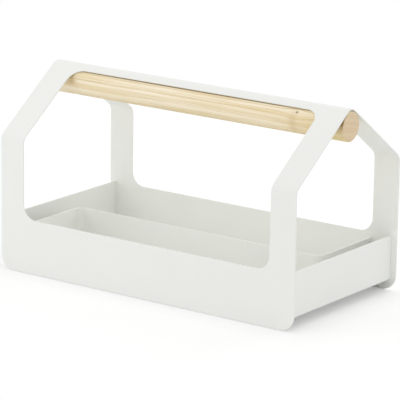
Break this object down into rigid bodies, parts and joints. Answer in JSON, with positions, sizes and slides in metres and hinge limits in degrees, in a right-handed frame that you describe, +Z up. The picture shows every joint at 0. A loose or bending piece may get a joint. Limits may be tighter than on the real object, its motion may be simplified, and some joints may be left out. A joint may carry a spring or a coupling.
{
  "type": "open carrying tote",
  "caption": "Open carrying tote of folded white sheet steel with windowed sides, a shallow pan with a loose Z-shaped divider, and a round ash bar under the ridge as its handle.",
  "frame": {"origin": "on the ground, under the middle of the tote", "axes": "+X along the handle bar to the right end, -Y towards the front panel, +Z up"},
  "size_m": [0.36, 0.182, 0.2022],
  "materials": {
    "powder_coat": "fine matt white powder coat on mild steel",
    "ash_wood": "pale ash, clear matt lacquer",
    "zinc_plate": "bright zinc plate"
  },
  "bodies": {
    "tote": {"frame_shell": "powder_coat", "tray_pan": "powder_coat", "handle_bar": "ash_wood", "handle_boss_left": "powder_coat", "handle_washer_left": "zinc_plate", "handle_screw_left": "zinc_plate", "handle_boss_right": "powder_coat", "handle_washer_right": "zinc_plate", "handle_screw_right": "zinc_plate"},
    "divider": {"divider": "powder_coat"}
  },
  "joints": [
    {"name": "divider_lift", "type": "slide", "parent": "tote", "child": "divider", "axis": [0, 0, 1], "range_m": [0, 0.118]}
  ]
}
